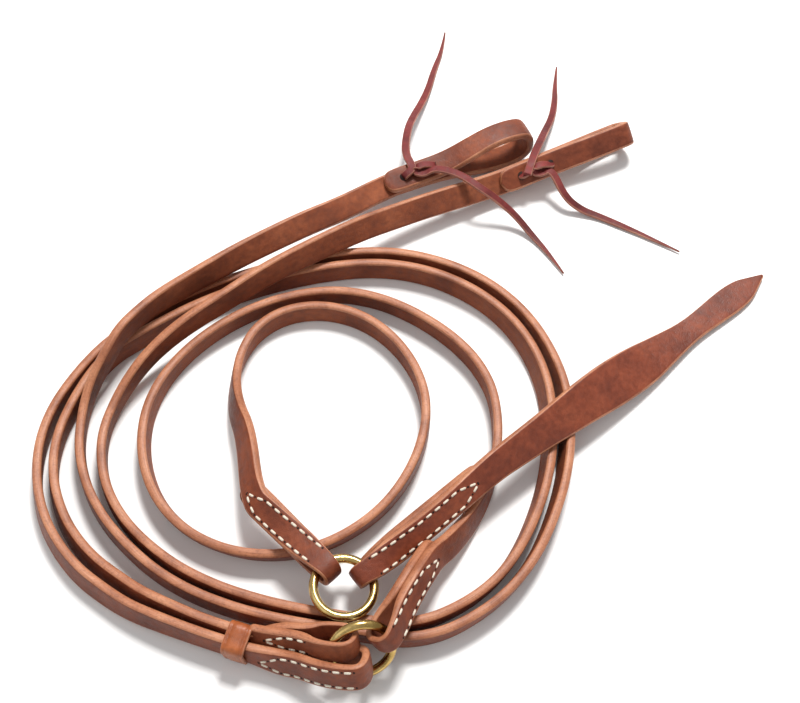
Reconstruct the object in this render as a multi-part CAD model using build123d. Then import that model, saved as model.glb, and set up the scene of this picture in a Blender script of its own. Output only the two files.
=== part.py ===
from build123d import *

import math
import os

# Western romal reins, coiled on a table: two reins, a ring, the romal, a ring and the popper.
# Millimetres, +Z up, table at z = 0.  Most of each strap stands on edge, so its width is
# vertical.  A strap ends in a fold round a ring or a bit ring: a doubled block with a hollow.
# Routes are lists of points on a strap's centre line, measured from the middle of the layout.

os.makedirs("parts", exist_ok=True)

# Driving dimensions
STRAP_WIDTH = 13.0
STRAP_THICK = 4.2
LAYOUT_CENTRE = (8.4, 27.8)
RING_WIRE_R = 2.0
RING_R = 13.1
ARC_SHARE = 0.45
RING_BORE_R = 3.5
RING_TAPER = 14.0
LOWER_DOUBLED = 26.0
UPPER_DOUBLED = 44.0
POPPER_DOUBLED = 52.0
FOLD_NOSE = 4.6
RING_BORE_AT = 12.05
RING_FOLD_R = 6.15
REIN_END_WIDTH = 9.4
REIN_END_OFFSET = 4.95
REIN_END_BORE = (6.9, 3.7)
REIN_END_HEADING = Vector(-0.945, 0.19, -0.24)
REIN_BORE_R = 4.8
REIN_FOLD_R = 7.0
REIN_SLOT = 9.0
REIN_TAPER = 12.0
REIN_DOUBLED = 27.0
BIT_BORE_R = 4.6
BIT_FOLD_R = 8.8
BIT_TAPER = 40.0
BIT_DOUBLED = 75.0
KEEPER_LENGTH = 10.0
KEEPER_THICK = 1.4
KEEPER_GAP = 0.7
KEEPER_SPACING = 5.9
LACE_R = 1.2
LACE_HOLE_R = 1.9
LACE_BEND_R = 2.6
LACE_LIFT = 1.6
LEFT_LACE_HOLES = (48.0, 68.0)
RIGHT_LACE_HOLES = (43.0, 63.0)
STITCH_LENGTH = 2.8
STITCH_PITCH = 4.0
STITCH_WIDTH = 0.8
STITCH_THICK = 0.5
STITCH_ROW = 3.6
STITCH_SETBACK = 1.0
RING_STITCH_START = RING_TAPER + 1
REIN_STITCH_START = REIN_TAPER + 1
STITCH_CLOSING = 2.6
HOLLOW_SETBACK = 3.0
TWIST_STEPS = 5
TRIM_MARGIN = 1.0
OVERSIZE = 100.0
Z_AXIS = Vector(0, 0, 1)

LOWER_RING_CENTRE = Vector(-16, -157, 18)
LOWER_RING_NORMAL = Vector(0.2, -0.84, 0.5)
LOWER_RING_RISE = Vector(-0.116, 0.4865, 0.864)
UPPER_RING_CENTRE = Vector(-24, -129.5, 16.9)
UPPER_RING_NORMAL = Vector(0.15, 0, 1)

# Routes from each doubled end, over the crossings and round the coil
LEFT_REIN = [
    (-30, 79, 15), (-47, 69, 16.5), (-64, 57.5, 18), (-81, 45.5, 19.5), (-98, 32.5, 20.5),
    (-117, 18, 20.8), (-127, 8, 20.8), (-135, -3, 21.2), (-140.5, -14.5, 18), (-146.5, -25, 12.5),
    (-149.8, -36, 8.5), (-150.7, -48, 6.75), (-149.5, -60, 6.75), (-146, -72, 6.75),
    (-140.5, -84, 6.75), (-132, -96.5, 6.75), (-121, -108, 6.75), (-108, -119, 6.75),
    (-92, -128.5, 6.75), (-73, -136, 6.75), (-54, -141, 6.75), (-35, -144.5, 6.75),
    (-17, -146.5, 6.75), (0, -149.8, 6.75), (16, -147.5, 6.75), (29, -141.5, 6.75),
    (41.5, -133, 6.75), (52, -122.5, 6.75), (61, -109.5, 6.75), (68, -94.5, 6.75),
    (74, -78, 6.75), (78, -60, 6.75), (79.3, -42, 6.75), (77.8, -24, 6.75), (73, -7, 6.75),
    (65.5, 10, 6.75), (54.5, 25, 6.75), (40, 37.5, 6.75), (22, 47, 6.75), (2, 53, 6.75),
    (-20, 54, 6.75), (-42, 50.5, 6.75), (-64, 45, 6.75), (-86, 37, 6.75), (-106, 27, 6.75),
    (-121.5, 17, 6.75), (-134, 7.5, 6.75), (-144, -2, 6.75), (-152, -13, 6.75),
    (-159, -25, 6.75), (-164.8, -38, 6.75), (-168, -52, 6.75), (-168.3, -66, 6.75),
    (-166, -80, 6.75), (-161, -94, 6.75), (-153, -107, 6.75), (-142, -119.5, 6.75),
    (-129, -129, 6.75), (-117, -136.3, 7.6), (-103, -142.2, 9.0), (-86, -148.4, 9.4),
    (-69, -153.9, 9.4), (-63, -155.8, 9.4),
]
RIGHT_REIN = [
    (14, 82, 13.5), (-4, 72.5, 15.5), (-20, 62.5, 19.2), (-36, 52, 20.9), (-52, 42.5, 20.6),
    (-69, 31.5, 20.3), (-87, 17, 19.5), (-101, 7, 18), (-113, -3, 16), (-123, -13.5, 13.5),
    (-131, -25, 10), (-136.5, -37, 7.5), (-139.5, -50, 6.75), (-139, -63, 6.75),
    (-135.5, -76, 6.75), (-129.5, -88, 6.75), (-121, -99, 6.75), (-110, -109, 6.75),
    (-96.5, -118.5, 6.75), (-80, -126.5, 6.75), (-62, -132.5, 6.75), (-43, -137, 6.75),
    (-24, -140, 6.75), (-6, -143.2, 6.75), (10, -142, 6.75), (24, -136, 6.75),
    (36.5, -127.8, 6.75), (46.5, -117.5, 6.75), (54.5, -105, 6.75), (61, -91, 6.75),
    (66.5, -75.5, 6.75), (70, -58, 6.75), (71, -41, 6.75), (69.8, -24, 6.75), (65.5, -8, 6.75),
    (58.5, 7, 6.75), (48.5, 20, 6.75), (35.5, 31, 6.75), (19, 40, 6.75), (0, 45.5, 6.75),
    (-20, 46.5, 6.75), (-41, 43.5, 6.75), (-62, 38, 6.75), (-84, 30, 6.75), (-103, 20.5, 6.75),
    (-118, 11, 6.75), (-130.5, 2, 6.75), (-140, -5.5, 6.75), (-147, -15, 6.75),
    (-152.5, -26, 6.75), (-157, -38, 6.75), (-160.3, -51, 6.75), (-161, -65, 6.75),
    (-158.5, -79, 6.75), (-153, -92.5, 6.75), (-145.5, -104, 6.75), (-135, -115, 6.75),
    (-123, -123.5, 6.75), (-113, -130, 7.6), (-100, -136.2, 9.0), (-84, -142.8, 9.4),
    (-67, -148.3, 9.4), (-61, -150.2, 9.4),
]
ROMAL = [
    (22, -108.5, 12.3), (31.5, -95.5, 7.6), (39, -82, 6.8), (44, -66.5, 6.75), (46.3, -49, 6.75),
    (45, -31, 6.75), (41, -19, 6.75), (34, -7, 6.75), (22, 6, 6.75), (5, 18.5, 6.75), (-13, 27, 6.75),
    (-33, 30.5, 6.75), (-54, 27.5, 6.75), (-74, 19.5, 6.75), (-92, 7.5, 6.75), (-107, -8, 6.75),
    (-117, -26, 6.75), (-121, -45, 6.75), (-119, -65, 6.75), (-111, -84, 6.75),
    (-97, -99, 6.7), (-79, -108, 6.6), (-60, -111.5, 6.55), (-40, -109, 6.55),
    (-22, -100.5, 6.6), (-7, -88, 6.7), (4, -72, 6.75), (11, -54, 6.75), (13, -35, 6.75),
    (8, -16, 6.75), (-3, 1.5, 6.75), (-18.5, 14.5, 6.75), (-37, 20.5, 6.75), (-55.5, 18.5, 6.75),
    (-70, 9, 6.75), (-78, -6, 6.75), (-80, -23, 8.5), (-77.5, -40, 13), (-71, -56, 17),
]
LEFT_LACE_TAILS = (
    [(27, 225, 1.4), (25, 210, 1.4), (20, 194, 1.4), (16.5, 178, 2), (12, 163, 5), (7, 147, 11),
     (4, 131, 18), (2.5, 112, 21.5)],
    [(31, 97.5, 21.5), (41, 89, 21), (51, 85.5, 15), (61, 80.5, 8), (70, 71.5, 1.8),
     (78, 60, 1.4), (85, 47, 1.4)],
)
RIGHT_LACE_TAILS = (
    [(92, 196, 1.4), (90, 182, 1.4), (89, 168, 1.4), (86, 154, 3), (81, 140, 8), (77, 127, 15),
     (71.5, 111, 20), (67, 97, 18)],
    [(88, 92, 9), (97, 88, 3), (107, 84.5, 1.4), (117, 79, 1.4), (131, 71, 1.4),
     (147, 61, 1.4)],
)
# Popper: half width and centre height at distances from the ring
POPPER_EDGE = [(-8, 6.5), (62, 6.5), (100, 8), (125, 9.8), (145, 11), (160, 11.2), (175, 10.2),
               (190, 8), (202, 6.5), (212, 6.1), (224, 6.7), (237, 7.5), (247, 6.8), (262, 0.8)]
POPPER_SIDE = [(48, 22.2), (60, 22.9), (80, 22.1), (105, 19.3), (134, 16), (150, 12.4), (175, 6.8),
               (205, 4), (262, 2.3)]


def corner_radii(points):
    """Tangent arc at each corner: it uses 0.45 of the shorter run."""
    radii = []
    for before, here, after in zip(points, points[1:], points[2:]):
        run_in = here - before
        run_out = after - here
        half_turn = math.radians(run_in.get_angle(run_out)) / 2
        radii.append(ARC_SHARE * min(run_in.length, run_out.length) / math.tan(half_turn))
    return radii


def route_path(name, points):
    """The centre line through the points: straight runs joined by tangent arcs."""
    points = [Vector(*p) for p in points]
    radii = corner_radii(points)
    path = FilletPolyline(*points, radius=radii)
    print(name, "length", round(path.length, 1), "smallest radius", round(min(radii), 1),
          "radii", [round(r) for r in radii])
    return path


def section(centre, heading, width_axis, width=STRAP_WIDTH):
    """The strap's cross-section at a place, square to its heading."""
    thick_axis = heading.cross(width_axis)
    return Plane(origin=centre, z_dir=heading, x_dir=thick_axis) * Rectangle(STRAP_THICK, width)


def edge_strap(name, points):
    """A strap standing on edge along a route, and its path."""
    path = route_path(name, points)
    strap = sweep(sections=section(path @ 0, path % 0, Z_AXIS), path=path)
    print(name, "volume", round(strap.volume), "section x length",
          round(path.length * STRAP_THICK * STRAP_WIDTH))
    return strap, path


def twist(start, start_heading, start_width_axis, end, end_heading, start_width=STRAP_WIDTH):
    """The stretch where a strap turns from a doubled end's lean until it stands on edge."""
    pieces = []
    span = end - start
    for step in range(TWIST_STEPS + 1):
        part = step / TWIST_STEPS
        heading = (start_heading * (1 - part) + end_heading * part).normalized()
        axis = start_width_axis * (1 - part) + Z_AXIS * part
        axis = (axis - heading * axis.dot(heading)).normalized()
        width = start_width * (1 - part) + STRAP_WIDTH * part
        pieces.append(section(start + span * part, heading, axis, width))
    return loft(pieces, ruled=True)


def doubled_end(plane, bore_r, fold_r, taper, length, width, slot=0.0):
    """A strap folded back on itself round a hollow: the plane's x runs away from the fold."""
    half = STRAP_THICK
    closed = taper - HOLLOW_SETBACK
    outer = Circle(fold_r) + Polygon(
        (0, fold_r), (slot, fold_r), (taper, half), (length, half), (length, -half),
        (taper, -half), (slot, -fold_r), (0, -fold_r), align=None)
    hollow = Circle(bore_r) + Polygon(
        (0, bore_r), (slot, bore_r), (closed, 0), (slot, -bore_r), (0, -bore_r), align=None)
    return extrude(plane * (outer - hollow), amount=width / 2, both=True)


def stitches(plane, starts, length):
    """Two rows of stitches on the main face and on the flap, meeting in a point at the far end."""
    rows = []
    dash = Box(STITCH_LENGTH, STITCH_THICK, STITCH_WIDTH)
    out = STRAP_THICK + STITCH_THICK / 2
    for face, start in zip((-1, 1), starts):
        count = int((length - start - STITCH_SETBACK) / STITCH_PITCH)
        for step in range(count):
            along = start + STITCH_PITCH * (step + 0.5)
            across = STITCH_ROW * min(1.0, (count - step) / STITCH_CLOSING)
            for side in (-1, 1):
                rows.append(plane.location * Pos(along, face * out, side * across) * dash)
    return Compound(children=rows)


def end_plane(origin, along, width_axis):
    """The working plane of a doubled end: x along it, y towards the turned-back flap."""
    along = along.normalized()
    axis = (width_axis - along * width_axis.dot(along)).normalized()
    return Plane(origin=origin, x_dir=along, z_dir=axis)


def main_layer(plane, distance):
    """A point on the centre line of the layer that carries on as the strap."""
    return plane.origin + plane.x_dir * distance - plane.y_dir * (STRAP_THICK / 2)


def write(name, shape):
    """Moves a sub-part so that the layout's middle is the origin, and writes its STEP."""
    placed = Pos(-LAYOUT_CENTRE[0], -LAYOUT_CENTRE[1], 0) * shape
    placed.label = name
    export_step(placed, "parts/" + name + ".step")
    print(name, "valid", placed.is_valid, "solids", len(placed.solids()))


def ring(centre, normal):
    return Plane(origin=centre, z_dir=normal) * Torus(RING_R, RING_WIRE_R)


def lace(name, plane, holes, tails):
    """A lace that goes down one hole of a bit end and up the other, with both tails loose."""
    near, far = holes
    out = STRAP_THICK + LACE_LIFT
    corners = ((far, out), (far, -out), (near, -out), (near, out))
    through = [plane.from_local_coords(Vector(along, deep, 0)) for along, deep in corners]
    points = [Vector(*p) for p in tails[0]] + through + [Vector(*p) for p in tails[1]]
    radii = corner_radii(points)
    first = len(tails[0]) - 1
    radii[first:first + len(corners)] = [LACE_BEND_R] * len(corners)
    path = FilletPolyline(*points, radius=radii)
    print(name, "length", round(path.length, 1), "radii", [round(r) for r in radii])
    return sweep(sections=Plane(origin=path @ 0, z_dir=path % 0) * Circle(LACE_R), path=path)


def rein(name, bit_plane, ring_plane, points, holes):
    """One rein: laced bit end, twist, coil on edge, twist and stitched ring end."""
    strap, path = edge_strap(name, points)
    bit_end = doubled_end(bit_plane, BIT_BORE_R, BIT_FOLD_R, BIT_TAPER, BIT_DOUBLED, STRAP_WIDTH)
    drill = Cylinder(LACE_HOLE_R, 4 * STRAP_THICK)
    for along in holes:
        bit_end -= bit_plane.location * Pos(along, 0, 0) * Rot(90, 0, 0) * drill
    ring_end = doubled_end(ring_plane, REIN_BORE_R, REIN_FOLD_R, REIN_TAPER, REIN_DOUBLED,
                           REIN_END_WIDTH, REIN_SLOT)
    first = twist(main_layer(bit_plane, BIT_DOUBLED), bit_plane.x_dir, bit_plane.z_dir,
                  path @ 0, path % 0)
    rise = ring_plane.z_dir if ring_plane.z_dir.Z > 0 else ring_plane.z_dir * -1
    last = twist(main_layer(ring_plane, REIN_DOUBLED), ring_plane.x_dir, rise,
                 path @ 1, (path % 1) * -1, REIN_END_WIDTH)
    return strap + bit_end + first + ring_end + last


def rein_ring_end(across, width_axis):
    """The plane of a rein's stitched end: the two ends share the ring, one above the other."""
    plane = end_plane(LOWER_RING_CENTRE, REIN_END_HEADING, LOWER_RING_RISE)
    along, deep = REIN_END_BORE
    origin = LOWER_RING_CENTRE + plane.x_dir * along + plane.y_dir * deep
    return end_plane(origin + plane.z_dir * across, REIN_END_HEADING, width_axis)


def build_rings():
    write("lower_ring", ring(LOWER_RING_CENTRE, LOWER_RING_NORMAL))
    write("upper_ring", ring(UPPER_RING_CENTRE, UPPER_RING_NORMAL))


def build_reins():
    left_end = rein_ring_end(-REIN_END_OFFSET, LOWER_RING_RISE * -1)
    right_end = rein_ring_end(REIN_END_OFFSET, LOWER_RING_RISE)
    left = rein("rein_left_strap", LEFT_BIT, left_end, LEFT_REIN, LEFT_LACE_HOLES)
    right = rein("rein_right_strap", RIGHT_BIT, right_end, RIGHT_REIN, RIGHT_LACE_HOLES)
    write("rein_left_strap", left)
    write("rein_right_strap", right)
    starts = (REIN_STITCH_START, REIN_STITCH_START)
    write("rein_left_stitching", stitches(left_end, starts, REIN_DOUBLED))
    write("rein_right_stitching", stitches(right_end, starts, REIN_DOUBLED))
    write("bit_lace_left", lace("bit_lace_left", LEFT_BIT, LEFT_LACE_HOLES, LEFT_LACE_TAILS))
    write("bit_lace_right", lace("bit_lace_right", RIGHT_BIT, RIGHT_LACE_HOLES, RIGHT_LACE_TAILS))


def build_keeper():
    """A leather band round both reins, wide enough to slide along their straight stretch."""
    wide = KEEPER_SPACING + STRAP_THICK + 2 * KEEPER_GAP
    tall = STRAP_WIDTH + 2 * KEEPER_GAP
    outside = Box(KEEPER_LENGTH, wide + 2 * KEEPER_THICK, tall + 2 * KEEPER_THICK)
    inside = Box(2 * KEEPER_LENGTH, wide, tall)
    write("keeper_loop", KEEPER_PLACE.location * (outside - inside))


def build_romal():
    strap, path = edge_strap("romal_strap", ROMAL)
    lower = doubled_end(ROMAL_LOWER, RING_BORE_R, RING_FOLD_R, RING_TAPER, LOWER_DOUBLED,
                        STRAP_WIDTH)
    upper = doubled_end(ROMAL_UPPER, RING_BORE_R, RING_FOLD_R, RING_TAPER, UPPER_DOUBLED,
                        STRAP_WIDTH)
    first = twist(main_layer(ROMAL_LOWER, LOWER_DOUBLED), ROMAL_LOWER.x_dir,
                  ROMAL_LOWER.z_dir, path @ 0, path % 0)
    last = twist(main_layer(ROMAL_UPPER, UPPER_DOUBLED), ROMAL_UPPER.x_dir,
                 ROMAL_UPPER.z_dir, path @ 1, (path % 1) * -1)
    write("romal_strap", strap + lower + first + last + trimmed(upper, ROMAL_UPPER))
    starts = (RING_STITCH_START, RING_STITCH_START)
    write("romal_lower_stitching", stitches(ROMAL_LOWER, starts, LOWER_DOUBLED))
    # The underside has no stitches where the romal itself passes below
    starts = (RING_STITCH_START + 3 * STITCH_PITCH, RING_STITCH_START)
    write("romal_upper_stitching", stitches(ROMAL_UPPER, starts, UPPER_DOUBLED))


def trimmed(block, plane):
    """Takes the corners off the fold, where two folds sit side by side on one ring."""
    half = STRAP_WIDTH / 2 + TRIM_MARGIN
    reach = RING_FOLD_R + TRIM_MARGIN
    side = Plane(origin=plane.origin, x_dir=plane.x_dir, z_dir=plane.y_dir)
    outline = Polygon((-reach, -FOLD_NOSE), (-reach, FOLD_NOSE), (-TRIM_MARGIN, half),
                      (OVERSIZE, half), (OVERSIZE, -half), (-TRIM_MARGIN, -half), align=None)
    return block & extrude(side * outline, amount=OVERSIZE, both=True)


def build_popper():
    """The quirt end: doubled at the ring, then a shaped strap that narrows to a point."""
    end = doubled_end(POPPER_END, RING_BORE_R, RING_FOLD_R, RING_TAPER, POPPER_DOUBLED,
                      STRAP_WIDTH)
    heading = Vector(POPPER_END.x_dir.X, POPPER_END.x_dir.Y, 0).normalized()
    side = Plane(origin=Vector(POPPER_END.origin.X, POPPER_END.origin.Y, 0),
                 x_dir=heading, z_dir=heading.cross(Z_AXIS))
    half = STRAP_THICK / 2
    top = [(along, height + half) for along, height in POPPER_SIDE]
    bottom = [(along, height - half) for along, height in reversed(POPPER_SIDE)]
    tail = extrude(side * Polygon(*top, *bottom, align=None), amount=OVERSIZE, both=True)
    flat = Plane(origin=side.origin, x_dir=heading, z_dir=Z_AXIS)
    left = [(along, across) for along, across in POPPER_EDGE]
    right = [(along, -across) for along, across in reversed(POPPER_EDGE)]
    outline = extrude(flat * Polygon(*left, *right, align=None), amount=OVERSIZE, both=True)
    popper = trimmed(end, POPPER_END) + (tail & outline)
    write("popper_strap", popper)
    starts = (RING_STITCH_START, RING_STITCH_START)
    write("popper_stitching", stitches(POPPER_END, starts, POPPER_DOUBLED))


LEFT_BIT = end_plane(Vector(62, 126.5, 9.4), Vector(-0.915, -0.40, 0.06), Vector(-0.40, 0.915, 0))
RIGHT_BIT = end_plane(Vector(118, 132, 9.6), Vector(-0.89, -0.455, 0), Vector(-0.156, 0.304, 0.94))
ROMAL_LOWER = end_plane(
    LOWER_RING_CENTRE + RING_BORE_AT * Vector(0.812, 0.4295, 0.3967),
    Vector(0.474, 0.879, -0.033), Vector(-0.55, 0.326, 0.768))
ROMAL_UPPER = end_plane(
    UPPER_RING_CENTRE + RING_BORE_AT * Vector(-0.7, 0.705, 0.105),
    Vector(-0.705, 0.71, 0), Vector(0.697, 0.708, -0.104))
POPPER_END = end_plane(
    UPPER_RING_CENTRE + RING_BORE_AT * Vector(0.768, 0.63, -0.115),
    Vector(0.772, 0.636, 0.1), Vector(-0.623, 0.777, 0.093))
KEEPER_PLACE = Plane(
    origin=(-68, -151.1, 9.4), x_dir=(0.951, -0.309, 0), z_dir=(-0.035, -0.107, 0.993))

build_rings()
build_reins()
build_keeper()
build_romal()
build_popper()
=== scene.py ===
import math
import bpy
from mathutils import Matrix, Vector
from mathutils.bvhtree import BVHTree

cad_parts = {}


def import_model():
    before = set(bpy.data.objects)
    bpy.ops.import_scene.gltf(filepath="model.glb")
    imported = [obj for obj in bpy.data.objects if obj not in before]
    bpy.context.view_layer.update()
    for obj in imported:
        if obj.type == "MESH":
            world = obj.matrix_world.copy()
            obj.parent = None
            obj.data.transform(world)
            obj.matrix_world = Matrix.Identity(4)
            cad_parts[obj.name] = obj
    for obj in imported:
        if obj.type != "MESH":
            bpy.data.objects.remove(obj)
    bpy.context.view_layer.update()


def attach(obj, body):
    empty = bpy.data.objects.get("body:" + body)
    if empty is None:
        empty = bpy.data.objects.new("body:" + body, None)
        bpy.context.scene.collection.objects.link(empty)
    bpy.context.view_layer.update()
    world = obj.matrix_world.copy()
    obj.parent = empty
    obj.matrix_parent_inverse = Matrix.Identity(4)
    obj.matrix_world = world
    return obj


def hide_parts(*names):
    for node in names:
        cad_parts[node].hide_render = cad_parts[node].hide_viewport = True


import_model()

# Lengths are millimetres in the layout's own axes; world() turns them into the frame's metres.
MM = 0.001
LAYOUT_CENTRE = Vector((8.4, 27.8, 0.0))
STRAP_HALF = 6.4
SINGLE_HALF = 2.1
FOLD_HALF = 1.3
UP = Vector((0, 0, 1))
CAMERA_TILT = math.radians(58)
CAMERA_WIDTH = math.radians(38)
CAMERA_DISTANCE = 580
FLOOR_HALF = 4.0
LEFT_HOLES = (48, 66)
RIGHT_HOLES = (43, 61)
PUNCHED_HOLE_R = 2.3
STITCH_HOLE_R = 0.5
STITCH_PITCH = 4.9
LOWER_RING = Vector((-16, -157, 18))
UPPER_RING = Vector((-24, -129.5, 16.9))


def world(point):
    return (Vector(point) - LAYOUT_CENTRE) * MM


def mix(a, b, t):
    return a + (b - a) * t


# ---------------------------------------------------------------- camera and light
def make_camera():
    """Looks down along +Y at the middle of the layout."""
    tilt = CAMERA_TILT
    data = bpy.data.cameras.new("camera")
    data.sensor_fit = "HORIZONTAL"
    data.angle = CAMERA_WIDTH
    camera = bpy.data.objects.new("camera", data)
    camera.location = world((0, -CAMERA_DISTANCE * math.cos(tilt),
                             CAMERA_DISTANCE * math.sin(tilt)))
    camera.rotation_euler = (math.pi / 2 - tilt, 0, 0)
    bpy.context.collection.objects.link(camera)
    bpy.context.scene.camera = camera


def make_light(name, place, target, size, power, colour=(1, 1, 1)):
    data = bpy.data.lights.new(name, "AREA")
    data.shape = "SQUARE"
    data.size = size
    data.energy = power
    data.color = colour
    light = bpy.data.objects.new(name, data)
    light.location = place
    aim = Vector(target) - Vector(place)
    light.rotation_euler = aim.to_track_quat("-Z", "Y").to_euler()
    bpy.context.collection.objects.link(light)


def make_stage():
    mesh = bpy.data.meshes.new("floor")
    half = FLOOR_HALF
    corners = [(-half, -half, 0), (half, -half, 0), (half, half, 0), (-half, half, 0)]
    mesh.from_pydata(corners, [], [(0, 1, 2, 3)])
    floor = bpy.data.objects.new("floor", mesh)
    bpy.context.collection.objects.link(floor)
    material = bpy.data.materials.new("floor_white")
    material.use_nodes = True
    shader = material.node_tree.nodes["Principled BSDF"]
    shader.inputs["Base Color"].default_value = (0.9, 0.9, 0.9, 1)
    shader.inputs["Roughness"].default_value = 0.7
    mesh.materials.append(material)
    background = bpy.data.worlds.new("studio")
    background.use_nodes = True
    background.node_tree.nodes["Background"].inputs["Color"].default_value = (1, 1, 1, 1)
    background.node_tree.nodes["Background"].inputs["Strength"].default_value = 0.5
    bpy.context.scene.world = background
    bpy.context.scene.view_settings.view_transform = "Standard"
    make_light("key", (0.2, 0.7, 1.5), (0, 0, 0), 0.4, 36, (1, 0.985, 0.96))
    make_light("fill", (-0.9, -0.6, 1.2), (0, 0, 0), 1.2, 2.5)


# ---------------------------------------------------------------- materials
def nodes_of(name):
    material = bpy.data.materials.new(name)
    material.use_nodes = True
    tree = material.node_tree
    return material, tree, tree.nodes["Principled BSDF"]


def noise(tree, coords, scale, detail=4.0, stretch=(1, 1, 1)):
    """Noise in object space, at so many cells per metre."""
    mapping = tree.nodes.new("ShaderNodeMapping")
    mapping.inputs["Scale"].default_value = stretch
    tree.links.new(coords, mapping.inputs["Vector"])
    node = tree.nodes.new("ShaderNodeTexNoise")
    node.inputs["Scale"].default_value = scale
    node.inputs["Detail"].default_value = detail
    tree.links.new(mapping.outputs["Vector"], node.inputs["Vector"])
    return node.outputs["Fac"]


def ramp(tree, value, stops):
    node = tree.nodes.new("ShaderNodeValToRGB")
    elements = node.color_ramp.elements
    while len(elements) < len(stops):
        elements.new(0.5)
    for element, (place, colour) in zip(elements, stops):
        element.position = place
        element.color = (*colour, 1)
    tree.links.new(value, node.inputs["Fac"])
    return node.outputs["Color"]


def blend_colour(tree, factor, a, b, kind="MIX"):
    node = tree.nodes.new("ShaderNodeMix")
    node.data_type = "RGBA"
    node.blend_type = kind
    if isinstance(factor, float):
        node.inputs["Factor"].default_value = factor
    else:
        tree.links.new(factor, node.inputs["Factor"])
    for socket, value in ((node.inputs["A"], a), (node.inputs["B"], b)):
        if isinstance(value, tuple):
            socket.default_value = (*value, 1)
        else:
            tree.links.new(value, socket)
    return node.outputs["Result"]


def bump(tree, shader, layers):
    """Stacks bump layers, given as (height, strength, distance in metres)."""
    normal = None
    for height, strength, distance in layers:
        node = tree.nodes.new("ShaderNodeBump")
        node.inputs["Strength"].default_value = strength
        node.inputs["Distance"].default_value = distance
        tree.links.new(height, node.inputs["Height"])
        if normal is not None:
            tree.links.new(normal, node.inputs["Normal"])
        normal = node.outputs["Normal"]
    tree.links.new(normal, shader.inputs["Normal"])


def leather(name, dark, mid, light, rough, grain_size=1500.0, grain=0.35, coat=0.15):
    """Oiled grain leather: soft blotches, pores, fine creases and worn high spots."""
    material, tree, shader = nodes_of(name)
    coords = tree.nodes.new("ShaderNodeTexCoord").outputs["Object"]
    blotch = noise(tree, coords, 45, 6)
    base = ramp(tree, blotch, [(0.25, dark), (0.5, mid), (0.78, light)])
    fine = noise(tree, coords, 420, 6)
    streak = noise(tree, coords, 160, 5, (1, 1, 2.5))
    base = blend_colour(tree, 0.5, base, ramp(tree, fine, [(0.32, (0.5, 0.44, 0.42)),
                                                           (0.66, (1, 1, 1))]), "MULTIPLY")
    base = blend_colour(tree, 0.45, base, ramp(tree, streak, [(0.36, (0.55, 0.48, 0.44)),
                                                              (0.58, (1, 1, 1))]), "MULTIPLY")
    tree.links.new(base, shader.inputs["Base Color"])
    cells = tree.nodes.new("ShaderNodeTexVoronoi")
    cells.feature = "DISTANCE_TO_EDGE"
    cells.inputs["Scale"].default_value = grain_size
    tree.links.new(coords, cells.inputs["Vector"])
    pores = ramp(tree, cells.outputs["Distance"], [(0.0, (0, 0, 0)), (0.25, (1, 1, 1))])
    roughness = ramp(tree, fine, [(0.3, (rough - 0.08,) * 3), (0.7, (rough + 0.12,) * 3)])
    tree.links.new(roughness, shader.inputs["Roughness"])
    shader.inputs["Coat Weight"].default_value = coat
    shader.inputs["Coat Roughness"].default_value = 0.35
    shader.inputs["Specular IOR Level"].default_value = 0.32
    bump(tree, shader, [(pores, grain, 0.00014), (fine, 0.5, 0.0004), (streak, 0.35, 0.0006)])
    return material


def cut_edge(name, dark, mid, light):
    """The burnished cut edge: paler, with fibres running along the strap."""
    material, tree, shader = nodes_of(name)
    uv = tree.nodes.new("ShaderNodeUVMap").outputs["UV"]
    coords = tree.nodes.new("ShaderNodeTexCoord").outputs["Object"]
    fibres = noise(tree, uv, 3.0, 6, (28, 900, 1))
    blotch = noise(tree, coords, 70, 5)
    speck = noise(tree, coords, 900, 4)
    base = ramp(tree, blotch, [(0.28, dark), (0.5, mid), (0.72, light)])
    base = blend_colour(tree, 0.5, base, ramp(tree, fibres, [(0.36, (0.5, 0.38, 0.3)),
                                                             (0.56, (1, 1, 1))]), "MULTIPLY")
    base = blend_colour(tree, 0.45, base, ramp(tree, speck, [(0.34, (0.5, 0.4, 0.33)),
                                                             (0.5, (1, 1, 1))]), "MULTIPLY")
    tree.links.new(base, shader.inputs["Base Color"])
    shader.inputs["Roughness"].default_value = 0.48
    shader.inputs["Coat Weight"].default_value = 0.12
    shader.inputs["Coat Roughness"].default_value = 0.4
    bump(tree, shader, [(fibres, 0.5, 0.0004), (speck, 0.4, 0.0003)])
    return material


def brass_material():
    material, tree, shader = nodes_of("ring_brass")
    coords = tree.nodes.new("ShaderNodeTexCoord").outputs["Object"]
    tarnish = noise(tree, coords, 90, 5)
    scratch = noise(tree, coords, 500, 5, (1, 1, 6))
    base = ramp(tree, tarnish, [(0.3, (0.32, 0.2, 0.06)), (0.5, (0.58, 0.4, 0.14)),
                                (0.7, (0.72, 0.54, 0.23))])
    tree.links.new(base, shader.inputs["Base Color"])
    rough = ramp(tree, scratch, [(0.3, (0.14,) * 3), (0.7, (0.3,) * 3)])
    tree.links.new(rough, shader.inputs["Roughness"])
    shader.inputs["Metallic"].default_value = 1.0
    bump(tree, shader, [(scratch, 0.12, 0.0001)])
    return material


def thread_material():
    material, tree, shader = nodes_of("waxed_thread")
    uv = tree.nodes.new("ShaderNodeUVMap").outputs["UV"]
    ply = tree.nodes.new("ShaderNodeTexWave")
    ply.bands_direction = "DIAGONAL"
    ply.inputs["Scale"].default_value = 3.0
    tree.links.new(uv, ply.inputs["Vector"])
    base = ramp(tree, ply.outputs["Fac"], [(0.0, (0.5, 0.4, 0.28)), (0.6, (0.86, 0.8, 0.68))])
    tree.links.new(base, shader.inputs["Base Color"])
    shader.inputs["Roughness"].default_value = 0.6
    bump(tree, shader, [(ply.outputs["Fac"], 0.5, 0.0002)])
    return material


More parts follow.
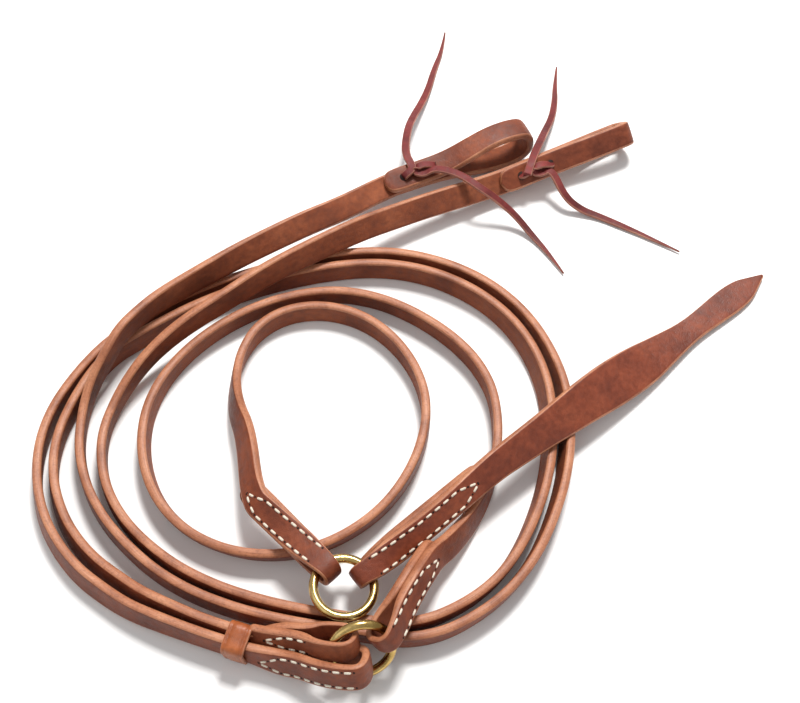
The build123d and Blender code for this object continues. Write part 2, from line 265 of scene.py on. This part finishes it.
GRAIN = leather("harness_grain", (0.10, 0.020, 0.008), (0.20, 0.044, 0.016),
                (0.31, 0.080, 0.030), 0.5, coat=0.04)
EDGE = cut_edge("harness_edge", (0.27, 0.085, 0.035), (0.43, 0.16, 0.074), (0.54, 0.23, 0.115))
FLESH = leather("harness_back", (0.13, 0.029, 0.010), (0.25, 0.062, 0.022),
                (0.36, 0.105, 0.042), 0.62, grain_size=2300.0, grain=0.7, coat=0.0)
POPPER_GRAIN = leather("popper_grain", (0.12, 0.022, 0.009), (0.22, 0.045, 0.017),
                       (0.31, 0.075, 0.03), 0.42, coat=0.15)
KEEPER_GRAIN = leather("keeper_grain", (0.20, 0.045, 0.012), (0.36, 0.09, 0.022),
                       (0.47, 0.14, 0.04), 0.36, coat=0.25)
LACE_GRAIN = leather("lace_grain", (0.08, 0.009, 0.009), (0.17, 0.020, 0.019),
                     (0.26, 0.04, 0.034), 0.55, coat=0.0)
LACE_EDGE = cut_edge("lace_edge", (0.20, 0.06, 0.035), (0.34, 0.12, 0.075), (0.48, 0.22, 0.14))
# Near-black painted shade for the mouths of punched and stitch holes, laid on the leather as flat
# discs.
HOLE_SHADE = leather("hole_shade", (0.012, 0.004, 0.002), (0.02, 0.007, 0.004),
                     (0.035, 0.012, 0.006), 0.8, coat=0.0)
BRASS = brass_material()
THREAD = thread_material()
STRAP_MATERIALS = (GRAIN, EDGE, FLESH)


# ---------------------------------------------------------------- routes of the straps and laces
LEFT_REIN = [
    (-30, 79, 15), (-47, 69, 16.5), (-64, 57.5, 18), (-81, 45.5, 19.5), (-98, 32.5, 20.5),
    (-117, 18, 20.8), (-127, 8, 20.8), (-135, -3, 21.2), (-140.5, -14.5, 18), (-146.5, -25, 12.5),
    (-149.8, -36, 8.5), (-150.7, -48, 6.75), (-149.5, -60, 6.75), (-146, -72, 6.75),
    (-140.5, -84, 6.75), (-132, -96.5, 6.75), (-121, -108, 6.75), (-108, -119, 6.75),
    (-92, -128.5, 6.75), (-73, -136, 6.75), (-54, -141, 6.75), (-35, -144.5, 6.75),
    (-17, -146.5, 6.75), (0, -149.8, 6.75), (16, -147.5, 6.75), (29, -141.5, 6.75),
    (41.5, -133, 6.75), (52, -122.5, 6.75), (61, -109.5, 6.75), (68, -94.5, 6.75),
    (74, -78, 6.75), (78, -60, 6.75), (79.3, -42, 6.75), (77.8, -24, 6.75), (73, -7, 6.75),
    (65.5, 10, 6.75), (54.5, 25, 6.75), (40, 37.5, 6.75), (22, 47, 6.75), (2, 53, 6.75),
    (-20, 54, 6.75), (-42, 50.5, 6.75), (-64, 45, 6.75), (-86, 37, 6.75), (-106, 27, 6.75),
    (-121.5, 17, 6.75), (-134, 7.5, 6.75), (-144, -2, 6.75), (-152, -13, 6.75),
    (-159, -25, 6.75), (-164.8, -38, 6.75), (-168, -52, 6.75), (-168.3, -66, 6.75),
    (-166, -80, 6.75), (-161, -94, 6.75), (-153, -107, 6.75), (-142, -119.5, 6.75),
    (-129, -129, 6.75), (-117, -136.3, 7.6), (-103, -142.2, 9.0), (-86, -148.4, 9.4),
    (-69, -153.9, 9.4), (-63, -155.8, 9.4),
]
RIGHT_REIN = [
    (14, 82, 13.5), (-4, 72.5, 15.5), (-20, 62.5, 19.2), (-36, 52, 20.9), (-52, 42.5, 20.6),
    (-69, 31.5, 20.3), (-87, 17, 19.5), (-101, 7, 18), (-113, -3, 16), (-123, -13.5, 13.5),
    (-131, -25, 10), (-136.5, -37, 7.5), (-139.5, -50, 6.75), (-139, -63, 6.75),
    (-135.5, -76, 6.75), (-129.5, -88, 6.75), (-121, -99, 6.75), (-110, -109, 6.75),
    (-96.5, -118.5, 6.75), (-80, -126.5, 6.75), (-62, -132.5, 6.75), (-43, -137, 6.75),
    (-24, -140, 6.75), (-6, -143.2, 6.75), (10, -142, 6.75), (24, -136, 6.75),
    (36.5, -127.8, 6.75), (46.5, -117.5, 6.75), (54.5, -105, 6.75), (61, -91, 6.75),
    (66.5, -75.5, 6.75), (70, -58, 6.75), (71, -41, 6.75), (69.8, -24, 6.75), (65.5, -8, 6.75),
    (58.5, 7, 6.75), (48.5, 20, 6.75), (35.5, 31, 6.75), (19, 40, 6.75), (0, 45.5, 6.75),
    (-20, 46.5, 6.75), (-41, 43.5, 6.75), (-62, 38, 6.75), (-84, 30, 6.75), (-103, 20.5, 6.75),
    (-118, 11, 6.75), (-130.5, 2, 6.75), (-140, -5.5, 6.75), (-147, -15, 6.75),
    (-152.5, -26, 6.75), (-157, -38, 6.75), (-160.3, -51, 6.75), (-161, -65, 6.75),
    (-158.5, -79, 6.75), (-153, -92.5, 6.75), (-145.5, -104, 6.75), (-135, -115, 6.75),
    (-123, -123.5, 6.75), (-113, -130, 7.6), (-100, -136.2, 9.0), (-84, -142.8, 9.4),
    (-67, -148.3, 9.4), (-61, -150.2, 9.4),
]
ROMAL = [
    (22, -108.5, 12.3), (31.5, -95.5, 7.6), (39, -82, 6.8), (44, -66.5, 6.75), (46.3, -49, 6.75),
    (45, -31, 6.75), (41, -19, 6.75), (34, -7, 6.75), (22, 6, 6.75), (5, 18.5, 6.75), (-13, 27, 6.75),
    (-33, 30.5, 6.75), (-54, 27.5, 6.75), (-74, 19.5, 6.75), (-92, 7.5, 6.75), (-107, -8, 6.75),
    (-117, -26, 6.75), (-121, -45, 6.75), (-119, -65, 6.75), (-111, -84, 6.75),
    (-97, -99, 6.7), (-79, -108, 6.6), (-60, -111.5, 6.55), (-40, -109, 6.55),
    (-22, -100.5, 6.6), (-7, -88, 6.7), (4, -72, 6.75), (11, -54, 6.75), (13, -35, 6.75),
    (8, -16, 6.75), (-3, 1.5, 6.75), (-18.5, 14.5, 6.75), (-37, 20.5, 6.75), (-55.5, 18.5, 6.75),
    (-70, 9, 6.75), (-78, -6, 6.75), (-80, -23, 8.5), (-77.5, -40, 13), (-71, -56, 17),
]
LEFT_LACE_TAILS = (
    [(27, 225, 1.4), (25, 210, 1.4), (20, 194, 1.4), (16.5, 178, 2), (12, 163, 5), (7, 147, 11),
     (4, 131, 18), (2.5, 112, 21.5)],
    [(31, 97.5, 21.5), (41, 89, 21), (51, 85.5, 15), (61, 80.5, 8), (70, 71.5, 1.8),
     (78, 60, 1.4), (85, 47, 1.4)],
)
RIGHT_LACE_TAILS = (
    [(92, 196, 1.4), (90, 182, 1.4), (89, 168, 1.4), (86, 154, 3), (81, 140, 8), (77, 127, 15),
     (71.5, 111, 20), (67, 97, 18)],
    [(88, 92, 9), (97, 88, 3), (107, 84.5, 1.4), (117, 79, 1.4), (131, 71, 1.4),
     (147, 61, 1.4)],
)
# Popper: half width and centre height at distances from the ring
POPPER_EDGE = [(-8, 6.5), (62, 6.5), (100, 8), (125, 9.8), (145, 11), (160, 11.2), (175, 10.2),
               (190, 8), (202, 6.5), (212, 6.1), (224, 6.7), (237, 7.5), (247, 6.8), (262, 0.8)]
POPPER_SIDE = [(48, 22.2), (60, 22.9), (80, 22.1), (105, 19.3), (134, 16), (150, 12.4), (175, 6.8),
               (205, 4), (262, 2.3)]


# ---------------------------------------------------------------- straps
def plane_axes(along, width_axis):
    """Unit axes of a doubled end: x away from the fold, y towards the flap, z across."""
    x_axis = Vector(along).normalized()
    z_axis = Vector(width_axis)
    z_axis = (z_axis - x_axis * z_axis.dot(x_axis)).normalized()
    return x_axis, z_axis.cross(x_axis), z_axis


class Doubled:
    """The place of a doubled end; its layers turn about x by the angles listed along it."""

    def __init__(self, origin, along, width_axis, turns=((0, 0),), drops=((0, 0),), flip=1):
        self.origin = Vector(origin)
        self.x_axis, self.y_axis, self.z_axis = plane_axes(along, width_axis)
        self.turns = turns
        self.drops = drops
        self.flip = flip

    def axes(self, along):
        turn = math.radians(between(self.turns, along))
        y_axis = self.y_axis * math.cos(turn) - self.z_axis * math.sin(turn)
        z_axis = self.z_axis * math.cos(turn) + self.y_axis * math.sin(turn)
        return y_axis, z_axis

    def at(self, along, deep, across=0.0):
        y_axis, z_axis = self.axes(along)
        drop = UP * between(self.drops, along)
        return self.origin + self.x_axis * along + y_axis * deep + z_axis * across - drop

    def row(self, along, deep, half_width=STRAP_HALF, half_thick=SINGLE_HALF):
        return self.at(along, deep), self.axes(along)[1] * self.flip, half_width, half_thick


def between(table, place):
    """Linear interpolation in a table of (place, value)."""
    if place <= table[0][0]:
        return table[0][1]
    for (low, first), (high, second) in zip(table, table[1:]):
        if place <= high:
            return mix(first, second, (place - low) / (high - low))
    return table[-1][1]


def route_rows(points, leans, half_width=STRAP_HALF, half_thick=SINGLE_HALF):
    """Rows for a route: at each point the strap's upper edge leans so far left of its travel."""
    points = [Vector(point) for point in points]
    rows = []
    for index, point in enumerate(points):
        travel = points[min(index + 1, len(points) - 1)] - points[max(index - 1, 0)]
        left = UP.cross(travel).normalized()
        lean = math.radians(between(leans, index))
        rows.append((point, UP * math.cos(lean) + left * math.sin(lean), half_width, half_thick))
    return rows


def spline_points(points, resolution):
    """Points read from the smooth line that has the given points as its control points."""
    curve = bpy.data.curves.new("guide", "CURVE")
    curve.dimensions = "3D"
    spline = curve.splines.new("NURBS")
    spline.points.add(len(points) - 1)
    for target, point in zip(spline.points, points):
        target.co = (*point, 1)
    spline.order_u = 3
    spline.use_endpoint_u = True
    spline.resolution_u = resolution
    curve.resolution_u = resolution
    guide = bpy.data.objects.new("guide", curve)
    mesh = bpy.data.meshes.new_from_object(guide)
    found = [vertex.co.copy() for vertex in mesh.vertices]
    bpy.data.objects.remove(guide)
    bpy.data.curves.remove(curve)
    bpy.data.meshes.remove(mesh)
    return found


def section_outline(half_width, half_thick, crown, crease):
    """The strap's rounded section as (across, out) points, with the slot of each side after it."""
    corner = min(1.15, 0.55 * half_thick, 0.5 * half_width)
    wide = half_width - corner
    thick = half_thick - corner
    outline = []
    for side, slot in ((1, 0), (-1, 2)):
        for part in (-1.0, -0.82, -0.74, -0.66, -0.3, 0.0, 0.3, 0.66, 0.74, 0.82, 1.0):
            dip = crease if abs(abs(part) - 0.74) < 0.01 else 0.0
            out = half_thick + crown * (1 - part * part) - dip
            outline.append((side * part * wide, side * out, slot))
        for turn in (30, 60):
            angle = math.radians(turn)
            outline.append((side * (wide + corner * math.sin(angle)),
                            side * (thick + corner * math.cos(angle)), 1))
        for part in (0.9, 0.0, -0.9):
            bulge = 0.2 * (1 - part * part) * min(1.0, half_thick)
            outline.append((side * (half_width + bulge), side * part * thick, 1))
        for turn in (60, 30):
            angle = math.radians(turn)
            outline.append((side * (wide + corner * math.sin(angle)),
                            -side * (thick + corner * math.cos(angle)), 1))
    return outline


def make_strap(name, rows, body, materials=STRAP_MATERIALS, resolution=10, crown=0.15,
               crease=0.0, wobble=0.0):
    """One continuous strap through its rows of (point, width axis, half width, half thick)."""
    line = spline_points([row[0] for row in rows], resolution)
    guides = spline_points([row[0] + row[1] * 10 for row in rows], resolution)
    sizes = spline_points([(row[2], row[3], 0) for row in rows], resolution)
    vertices = []
    faces = []
    slots = []
    coordinates = []
    run = 0.0
    count = 0
    for index, (centre, guide, size) in enumerate(zip(line, guides, sizes)):
        before = line[max(index - 1, 0)]
        after = line[min(index + 1, len(line) - 1)]
        travel = (after - before).normalized()
        run += (centre - before).length
        across = guide - centre
        across = (across - travel * across.dot(travel)).normalized()
        outward = travel.cross(across)
        sway = wobble * math.sin(run / 23.0 + 2.0 * math.sin(run / 61.0))
        outline = section_outline(size[0] + 0.4 * sway, size[1], crown, crease)
        count = len(outline)
        for wide, out, _ in outline:
            place = centre + across * (wide + sway) + outward * out
            vertices.append(world(place))
        if index:
            base = (index - 1) * count
            for corner in range(count):
                following = (corner + 1) % count
                faces.append((base + corner, base + following,
                              base + count + following, base + count + corner))
                slots.append(outline[corner][2])
            coordinates.append(run)
    last = (len(line) - 1) * count
    faces.append(tuple(range(count))[::-1])
    faces.append(tuple(range(last, last + count)))
    slots += [1, 1]
    mesh = bpy.data.meshes.new(name)
    mesh.from_pydata(vertices, [], faces)
    uv_layer = mesh.uv_layers.new(name="UVMap")
    for polygon, slot_index in zip(mesh.polygons, slots):
        polygon.material_index = slot_index
        polygon.use_smooth = len(polygon.vertices) == 4
        step = min(polygon.index // count, len(coordinates) - 1)
        for loop in polygon.loop_indices:
            corner = mesh.loops[loop].vertex_index
            if corner // count > step:
                along = coordinates[step]
            else:
                along = coordinates[step - 1] if step else 0
            uv_layer.data[loop].uv = (along * MM, (corner % count) / count * 0.04)
    for material in materials:
        mesh.materials.append(material)
    strap = bpy.data.objects.new(name, mesh)
    bpy.context.collection.objects.link(strap)
    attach(strap, body)
    return strap, [world(point) for point in line]


def flap_and_fold(end, flap, fold, reverse=False):
    """Rows from a flap's tip round its fold and back along the main layer."""
    tip = flap[0][0]
    rows = [end.row(tip + 5.6, flap[0][1], 0.8, 1.3), end.row(tip + 5.0, flap[0][1], 3.6, 1.6),
            end.row(tip + 3.2, flap[0][1], 5.6, 1.9)]
    rows += [end.row(*item) for item in flap + fold]
    return rows[::-1] if reverse else rows


LEFT_BIT_FLAP = [(71, 2.3), (60, 2.2), (47, 2.4)]
LEFT_BIT_FOLD = [(38, 4.2), (28, 8.0), (16, 11.4), (4, 12.0), (-6.2, 9.4), (-8.2, -4.0),
                 (-0.5, -9.2), (13, -9.4), (27, -6.8), (40, -3.4), (52, -2.3), (64, -2.1),
                 (75, -2.1)]
RIGHT_BIT_FLAP = [(67, 2.3), (56, 2.2), (42, 2.4), (30, 3.4)]
RIGHT_BIT_FOLD = [(15, 5.6), (2, 6.7), (-6.7, 6.7), (-6.7, -6.7), (2, -6.7), (15, -5.6),
                  (30, -3.4), (42, -2.4), (60, -2.2), (75, -2.1)]
LEFT_RING_FLAP = [(36, 2.1, 6.3), (27, 2.1, 6.3), (19, 2.5, 6.3)]
LEFT_RING_FOLD = [(9, 5.4, 6.3, 1.8), (-2, 6.4, 6.2, 1.8), (-10.4, 6.2, 6.0, 1.7),
                  (-11.0, -4.6, 6.0, 1.6), (-3, -6.2, 6.2, 1.6), (8, -5.6, 6.3, 1.8),
                  (19, -2.5, 6.3), (27, -2.1, 6.3)]
RIGHT_RING_FLAP = [(36, 2.1, 5.0), (27, 2.1, 4.8), (16, 2.6, 4.8)]
RIGHT_RING_FOLD = [(9, 5.9, 4.8, 1.2), (-5.9, 5.9, 4.8, 1.1), (-5.9, -5.9, 4.8, 1.1),
                   (9, -5.9, 4.8, 1.2), (16, -2.6, 4.8), (27, -2.1, 4.8)]
RING_FLAP = [(26, 2.1), (15, 2.2)]
RING_FOLD = [(5, 5.0, 5.5, FOLD_HALF), (-5.1, 5.4, 4.4, FOLD_HALF),
             (-5.1, -5.4, 4.4, FOLD_HALF), (5, -5.0, 5.5, FOLD_HALF), (15, -2.2)]

LEFT_BIT = Doubled((62, 126.5, 13.2), (-0.915, -0.40, 0.0), (-0.40, 0.915, 0),
                   turns=((15, 2), (55, 20)))
RIGHT_BIT = Doubled((118, 132, 11.5), (-0.89, -0.455, 0), (-0.338, 0.661, 0.669))
REIN_HEADING = (-0.945, 0.19, -0.24)
REIN_RISE = Vector((-0.116, 0.4865, 0.864))
SHARED_END = Doubled(LOWER_RING, REIN_HEADING, REIN_RISE)
SHARED_BORE = SHARED_END.at(6.9, 3.7)


def rein_ring_end(side, across, deep):
    """The reins' stitched ends share the ring, the left one lower and in front."""
    origin = SHARED_BORE + SHARED_END.z_axis * across + SHARED_END.y_axis * deep
    return Doubled(origin, REIN_HEADING, REIN_RISE * side, flip=side)


LEFT_RING_END = rein_ring_end(-1, -4.0, 3.0)
RIGHT_RING_END = rein_ring_end(1, 4.95, -1.5)
BORE_AT = 12.05
ROMAL_LOWER = Doubled(LOWER_RING + Vector((0.812, 0.4295, 0.3967)) * BORE_AT,
                      (0.474, 0.879, -0.033), (-0.55, 0.326, 0.768),
                      turns=((5, -4), (25, -12), (45, -14)),
                      drops=((24, 0), (30, 1), (36, 3.2), (44, 6.5)))
ROMAL_UPPER = Doubled(UPPER_RING + Vector((-0.7, 0.705, 0.105)) * BORE_AT, (-0.705, 0.71, 0),
                      (-0.697, -0.708, 0.104), flip=-1,
                      turns=((0, 4), (14, 16), (30, 32), (46, 43), (60, 48)))
POPPER_END = Doubled(UPPER_RING + Vector((0.768, 0.63, -0.115)) * BORE_AT, (0.772, 0.636, 0.1),
                     (-0.623, 0.777, 0.093), turns=((-5, -6), (15, -34), (30, -44), (60, -42)))
LEFT_LEANS = [(0, -62), (2, -45), (4, -20), (6, 0), (11, 8), (20, 0), (24, -5), (30, -15),
              (34, -15), (39, 0), (48, 0), (54, 15), (57, 16), (60, 7)]
RIGHT_LEANS = [(0, -45), (2, -35), (4, -25), (6, -10), (8, 0), (11, 8), (20, 0), (24, -5),
               (30, -15), (34, -15), (39, 0), (48, 0), (54, 15), (57, 16), (60, 7)]
ROMAL_LEANS = [(0, 27), (1, 18), (2, 9), (3, 0), (7, 0), (10, 8), (12, 10), (15, 5), (19, -8),
               (21, -17), (24, -12), (27, 0), (31, -3), (34, 0), (36, 14), (38, 38)]


def make_rein(name, bit_end, bit_rows, ring_end, ring_rows, points, leans):
    rows = flap_and_fold(bit_end, *bit_rows) + route_rows(points, leans)
    rows += flap_and_fold(ring_end, *ring_rows, reverse=True)
    rein, line = make_strap(name, rows, "reins", wobble=0.12)
    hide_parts(name + "_strap")
    return rein


def make_romal():
    rows = flap_and_fold(ROMAL_LOWER, [(43, 2.1), (35, 2.1)] + RING_FLAP,
                         RING_FOLD + [(26, -2.1), (35, -2.1), (43, -2.1)])
    rows += route_rows(ROMAL, ROMAL_LEANS)
    rows += flap_and_fold(ROMAL_UPPER, [(49, 2.1), (37, 2.1)] + RING_FLAP,
                          RING_FOLD + [(26, -2.1), (36, -2.1), (46, -2.1)], reverse=True)
    romal, line = make_strap("romal", rows, "romal", wobble=0.12)
    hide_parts("romal_strap")
    return romal


def make_popper():
    rows = flap_and_fold(POPPER_END, [(64, 2.1), (50, 2.1), (37, 2.1)] + RING_FLAP,
                         RING_FOLD + [(26, -2.1), (36, -2.1), (48, -2.1)])
    heading = Vector((0.772, 0.636, 0)).normalized()
    start = Vector((POPPER_END.origin.x, POPPER_END.origin.y, 0))
    side = UP.cross(heading)
    turns = [(60, 44), (105, 38), (150, 28), (175, 18), (205, 8), (262, 3)]
    for along in (72, 88, 105, 120, 134, 145, 155, 165, 175, 185, 194, 203, 212, 222, 232, 240,
                  248, 254, 259, 262):
        height = between(POPPER_SIDE, along)
        half = between(POPPER_EDGE, along)
        turn = math.radians(between(turns, along))
        thin = between([(150, 1.9), (262, 0.9)], along)
        rows.append((start + heading * along + UP * height,
                     side * math.cos(turn) + UP * math.sin(turn), half, thin))
    popper, _ = make_strap("popper", rows, "popper",
                           (POPPER_GRAIN, EDGE, FLESH))
    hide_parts("popper_strap")
    return popper


# ---------------------------------------------------------------- laces, keeper and stitches
def lace_rows(points, taper_start):
    """Rows for a flat lace: it lies flat where it runs level, and its cut end is pointed."""
    rows = []
    across = None
    for index, point in enumerate(points):
        travel = points[min(index + 1, len(points) - 1)] - points[max(index - 1, 0)]
        flat = UP.cross(travel)
        if across is None or flat.length > 0.5 * travel.length:
            candidate = flat.normalized()
            if across is not None and candidate.dot(across) < 0:
                candidate = -candidate
            across = candidate
        left = index if taper_start else 9
        half = between([(0, 0.4), (1, 1.1), (2, 1.7), (4, 2.1)], min(left, len(points) - 1 - index))
        if not taper_start and index < 3:
            half = 1.7
        rows.append((point, across, half, between([(0, 0.4), (2, 0.8)], len(points) - 1 - index)))
    return rows


def make_tail(name, points, node):
    rows = lace_rows([Vector(point) for point in points], False)
    tail, line = make_strap(name, rows, "reins", (LACE_GRAIN, LACE_EDGE, LACE_GRAIN),
                            resolution=10, crown=0.1)
    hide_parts(node)


def make_lace(name, end, holes, tails):
    """A lace through the two holes of a bit end, twisted over itself between them."""
    near, far = holes
    out = 5.4
    first = [end.at(near, -out, 0.5), end.at(far - 4, -out - 0.4), end.at(far, -out),
             end.at(far, -1), end.at(far, 4), end.at(far - 0.5, 6.2), end.at(far - 5, 7, 1.5),
             end.at(far - 6, 6.2, 4)]
    second = [end.at(far - 3, -out, -0.5), end.at(near + 4, -out - 0.4), end.at(near, -out),
              end.at(near, -1), end.at(near, 4.2), end.at(near + 1, 7), end.at(near + 8, 7.8, 2.6),
              end.at(near + 12.5, 6.4, 0.5), end.at(near + 8, 6.2, -3.0), end.at(near + 2, 8.2, -2)]
    make_tail(name + "_far_tail", first + tails[0][::-1], "bit_" + name)
    make_tail(name + "_near_tail", second + tails[1], "bit_" + name)


def make_keeper():
    """A creased leather band wrapped round both reins, its end lapped under the strands."""
    origin = Vector((-68, -151.1, 9.4))
    band = Vector((0.951, -0.309, 0)).normalized()
    rise = Vector((-0.035, -0.107, 0.993))
    rise = (rise - band * rise.dot(band)).normalized()
    side = rise.cross(band)
    wide, tall = 6.6, 8.1
    base = -7.4
    outline = [(1.5, base), (-2, base), (-wide, base), (-wide, 0), (-wide, tall), (0, tall),
               (wide, tall), (wide, 0), (wide, base), (2, base - 0.3), (-3.5, base - 0.75)]
    rows = [(origin + side * across + rise * up, band, 5.0, 0.75) for across, up in outline]
    keeper, _ = make_strap("keeper", rows, "keeper",
                           (KEEPER_GRAIN, EDGE, KEEPER_GRAIN), resolution=12, crown=0.12,
                           crease=0.35)
    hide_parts("keeper_loop")


STITCH_RINGS = [(-1.75, 0.1), (-1.6, 0.38), (-1.15, 0.56), (0, 0.6), (1.15, 0.56), (1.6, 0.38),
                (1.75, 0.1)]
DASH_SIDES = 8


def surface_of(strap):
    mesh = strap.data
    return BVHTree.FromPolygons([vertex.co for vertex in mesh.vertices],
                                [polygon.vertices for polygon in mesh.polygons])


def on_surface(surface, end, along, face, across):
    """The place on the leather's outer face, and the face's outward direction."""
    outward = end.axes(along)[0] * face
    start = world(end.at(along, face * 9.5, across))
    hit, normal, _, _ = surface.ray_cast(start, -outward, 9 * MM)
    if hit is None:
        hit = world(end.at(along, face * 4.2, across))
        normal = outward
    return hit / MM, outward if normal.dot(outward) < 0.5 else normal


def add_shade_disc(vertices, polygons, middle, outward, radius, lift):
    """A small dark disc that lies on the leather: painted shade standing for the mouth of a hole."""
    side = outward.orthogonal().normalized()
    other = outward.cross(side)
    base = len(vertices)
    for corner in range(12):
        angle = corner * math.pi / 6
        place = middle + side * (radius * math.cos(angle)) + other * (radius * math.sin(angle))
        vertices.append((place + outward * lift) * MM)
    for corner in range(12):
        angle = corner * math.pi / 6
        place = middle + (side * math.cos(angle) + other * math.sin(angle)) * (radius + 0.2)
        vertices.append((place - outward * 0.3) * MM)
    polygons.append(tuple(range(base, base + 12)))
    for corner in range(12):
        following = (corner + 1) % 12
        polygons.append((base + corner, base + 12 + corner, base + 12 + following,
                         base + following))


def add_dash(vertices, polygons, middle, direction, outward):
    wide = direction.cross(outward).normalized()
    base = len(vertices)
    for shift, radius in STITCH_RINGS:
        sink = -0.35 if abs(shift) > 1.5 else 0.0
        for corner in range(DASH_SIDES):
            angle = corner * 2 * math.pi / DASH_SIDES
            place = middle + direction * shift + wide * (radius * math.cos(angle))
            place += outward * (sink + 0.75 * radius * math.sin(angle))
            vertices.append(place * MM)
    for ring_index in range(len(STITCH_RINGS) - 1):
        low = base + DASH_SIDES * ring_index
        for corner in range(DASH_SIDES):
            following = (corner + 1) % DASH_SIDES
            polygons.append((low + corner, low + following, low + DASH_SIDES + following,
                             low + DASH_SIDES + corner))
    polygons.append(tuple(range(base, base + DASH_SIDES))[::-1])
    top = base + DASH_SIDES * (len(STITCH_RINGS) - 1)
    polygons.append(tuple(range(top, top + DASH_SIDES)))


def link_mesh(name, vertices, polygons, slots, materials, body):
    mesh = bpy.data.meshes.new(name)
    mesh.from_pydata(vertices, [], polygons)
    uv_layer = mesh.uv_layers.new(name="UVMap")
    for polygon, slot_index in zip(mesh.polygons, slots):
        polygon.use_smooth = True
        polygon.material_index = slot_index
        for loop in polygon.loop_indices:
            corner = mesh.loops[loop].vertex_index
            uv_layer.data[loop].uv = ((corner // DASH_SIDES % 7) / 3.0, (corner % DASH_SIDES) / 8.0)
    for material in materials:
        mesh.materials.append(material)
    piece = bpy.data.objects.new(name, mesh)
    bpy.context.collection.objects.link(piece)
    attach(piece, body)
    return piece


def make_stitching(name, strap, end, faces, body, node, row_at=4.1):
    """Two rows of thread dashes, with the holes between them drawn as dark discs of painted shade,
    that meet near the flap's tip.
    """
    surface = surface_of(strap)
    vertices = []
    polygons = []
    slots = []
    for face, start, stop in faces:
        count = int((stop - start) / STITCH_PITCH)
        for half_step in range(2 * count + 1):
            along = start + STITCH_PITCH * half_step / 2
            left = count - half_step / 2
            across = row_at * min(1.0, (left + 0.15) / 2.2)
            toward = row_at * min(1.0, (left - 0.05) / 2.2)
            for side in (-1, 1):
                middle, outward = on_surface(surface, end, along, face, side * across)
                ahead, _ = on_surface(surface, end, along + 1.0, face, side * toward)
                before = len(polygons)
                if half_step % 2:
                    direction = (ahead - middle).normalized()
                    add_dash(vertices, polygons, middle, direction, outward)
                    slots += [0] * (len(polygons) - before)
                else:
                    # The hole between two dashes: a dark disc of painted shade.
                    add_shade_disc(vertices, polygons, middle, outward, STITCH_HOLE_R, 0.06)
                    slots += [1] * (len(polygons) - before)
    thread = link_mesh(name, vertices, polygons, slots, (THREAD, HOLE_SHADE), body)
    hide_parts(node)


def make_holes(name, strap, end, places):
    """The punched holes of a bit end, on both faces, drawn as dark discs of painted shade."""
    surface = surface_of(strap)
    vertices = []
    polygons = []
    for along in places:
        for face in (-1, 1):
            middle, outward = on_surface(surface, end, along, face, 0)
            add_shade_disc(vertices, polygons, middle, outward, PUNCHED_HOLE_R, 0.08)
    link_mesh(name, vertices, polygons, [0] * len(polygons), (HOLE_SHADE,), "reins")


make_camera()
LEFT = make_rein("rein_left", LEFT_BIT, (LEFT_BIT_FLAP, LEFT_BIT_FOLD), LEFT_RING_END,
                 (LEFT_RING_FLAP, LEFT_RING_FOLD), LEFT_REIN, LEFT_LEANS)
RIGHT = make_rein("rein_right", RIGHT_BIT, (RIGHT_BIT_FLAP, RIGHT_BIT_FOLD), RIGHT_RING_END,
                  (RIGHT_RING_FLAP, RIGHT_RING_FOLD), RIGHT_REIN, RIGHT_LEANS)
ROMAL_PIECE = make_romal()
make_lace("lace_left", LEFT_BIT, LEFT_HOLES, LEFT_LACE_TAILS)
make_lace("lace_right", RIGHT_BIT, RIGHT_HOLES, RIGHT_LACE_TAILS)
POPPER_PIECE = make_popper()
make_keeper()
make_holes("bit_holes_left", LEFT, LEFT_BIT, LEFT_HOLES)
make_holes("bit_holes_right", RIGHT, RIGHT_BIT, RIGHT_HOLES)
make_stitching("rein_left_thread", LEFT, LEFT_RING_END, ((-1, -8, 37), (1, 20, 35)), "reins",
               "rein_left_stitching")
make_stitching("rein_right_thread", RIGHT, RIGHT_RING_END, ((-1, 14, 35), (1, 14, 35)), "reins",
               "rein_right_stitching", 3.0)
make_stitching("romal_lower_thread", ROMAL_PIECE, ROMAL_LOWER, ((-1, 2, 45), (1, 2, 45)), "romal",
               "romal_lower_stitching")
make_stitching("romal_upper_thread", ROMAL_PIECE, ROMAL_UPPER, ((-1, 5, 53), (1, 25, 53)),
               "romal", "romal_upper_stitching")
make_stitching("popper_thread", POPPER_PIECE, POPPER_END, ((-1, 4, 67), (1, 12, 66)), "popper",
               "popper_stitching")
for ring_name in ("lower_ring", "upper_ring"):
    ring_mesh = bpy.data.objects[ring_name].data
    ring_mesh.materials.clear()
    ring_mesh.materials.append(BRASS)
make_stage()
